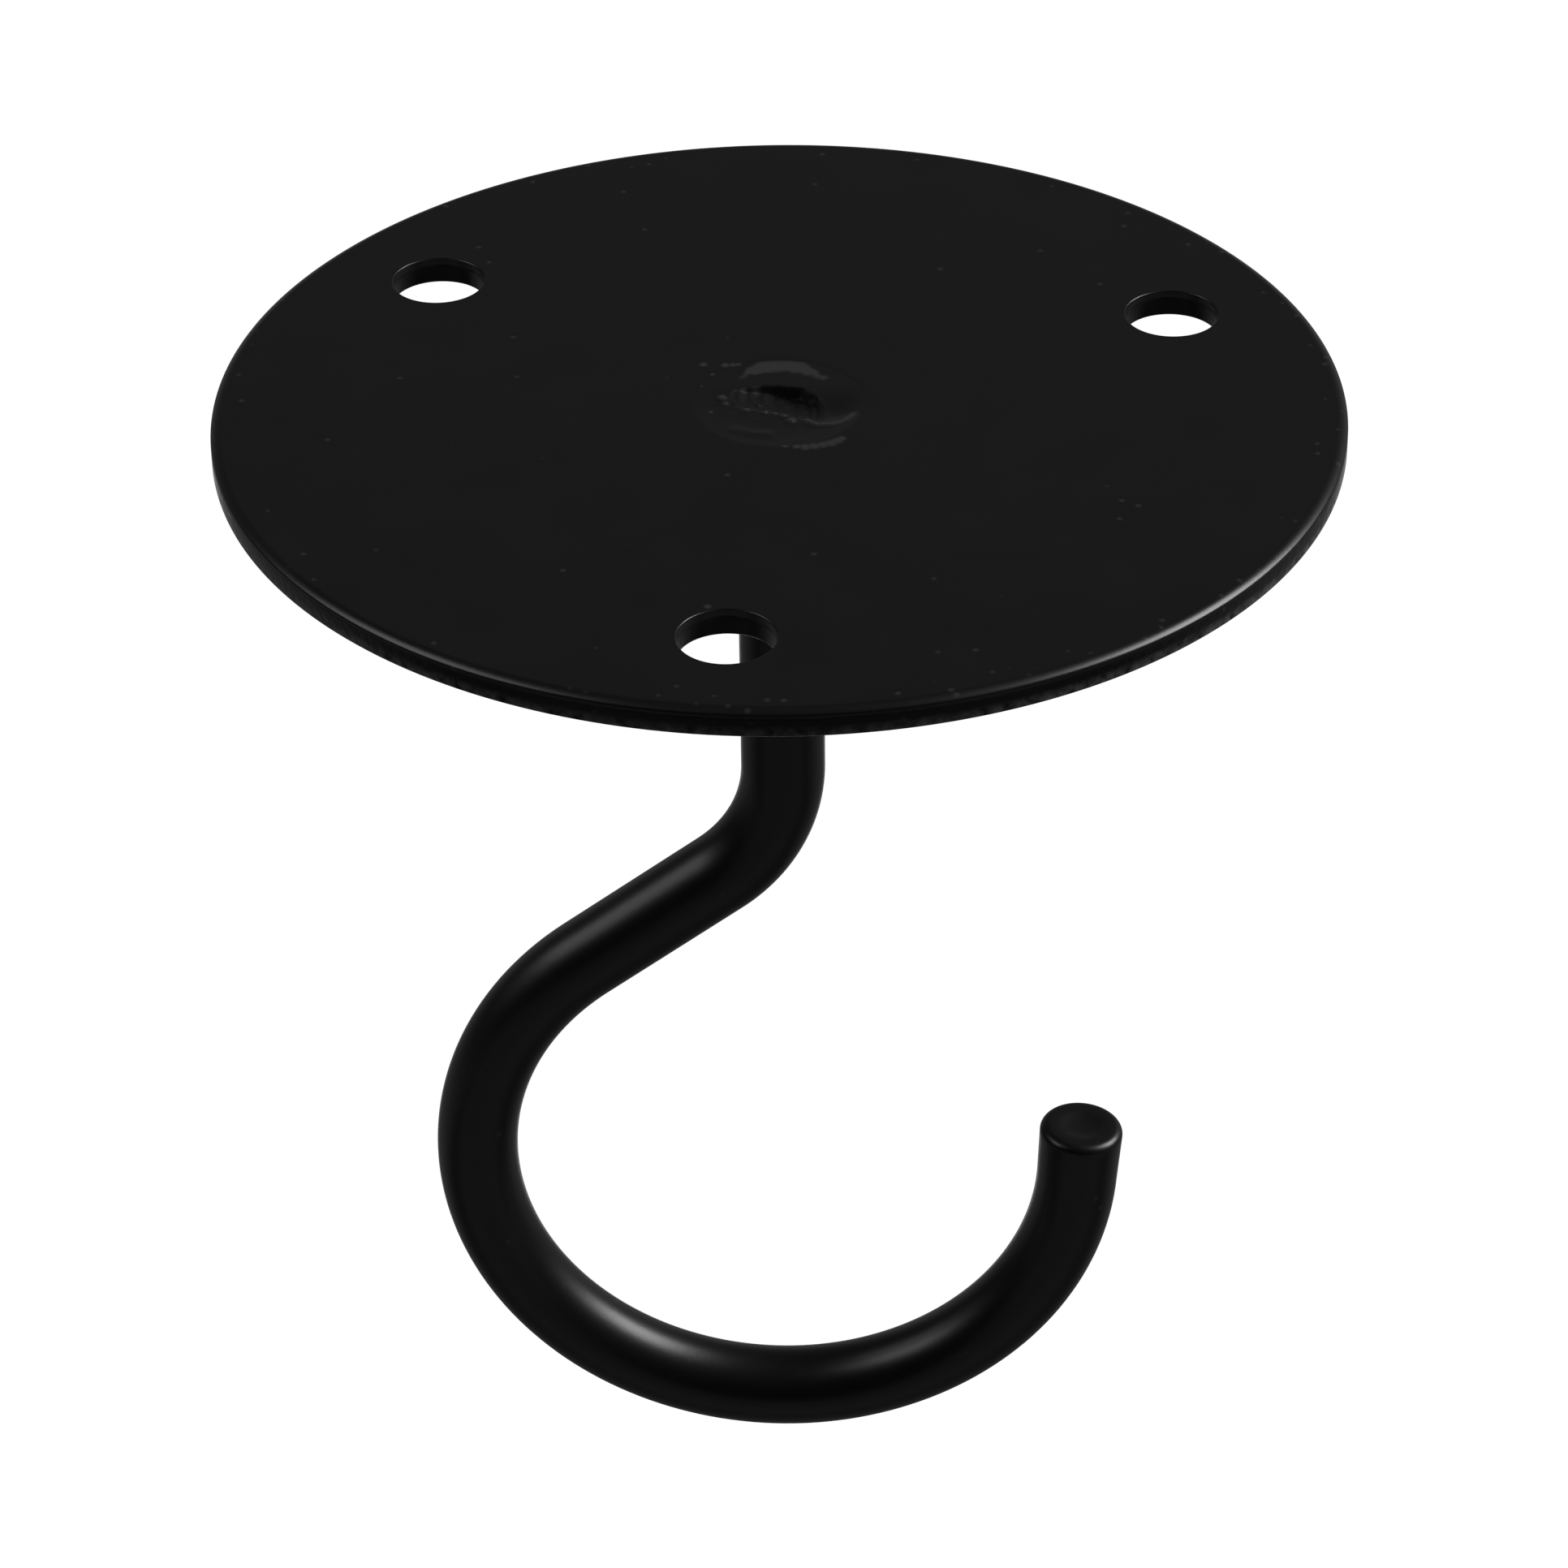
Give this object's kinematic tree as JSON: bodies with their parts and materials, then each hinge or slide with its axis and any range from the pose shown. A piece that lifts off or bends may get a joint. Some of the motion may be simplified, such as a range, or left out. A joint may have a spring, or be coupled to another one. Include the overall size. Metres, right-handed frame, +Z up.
{
  "type": "ceiling hook",
  "caption": "Round ceiling plate with screw holes and a bent round-bar hook hanging from its centre, for hanging a light, lantern or basket.",
  "frame": {"origin": "centre of the plate's ceiling face, on the axis of the screw circle and of the stem", "axes": "+Z up into the ceiling, the bar lies in the XZ plane, +X towards the side where the hook's mouth is open"},
  "size_m": [0.08, 0.08, 0.0931],
  "materials": {
    "coated_plate": "satin black coating",
    "coated_bar": "satin black coating",
    "coated_weld": "satin black coating over rough weld metal"
  },
  "bodies": {
    "root": {"ceiling_plate": "coated_plate", "hook_bar": "coated_bar", "weld_bead": "coated_weld"}
  },
  "joints": []
}
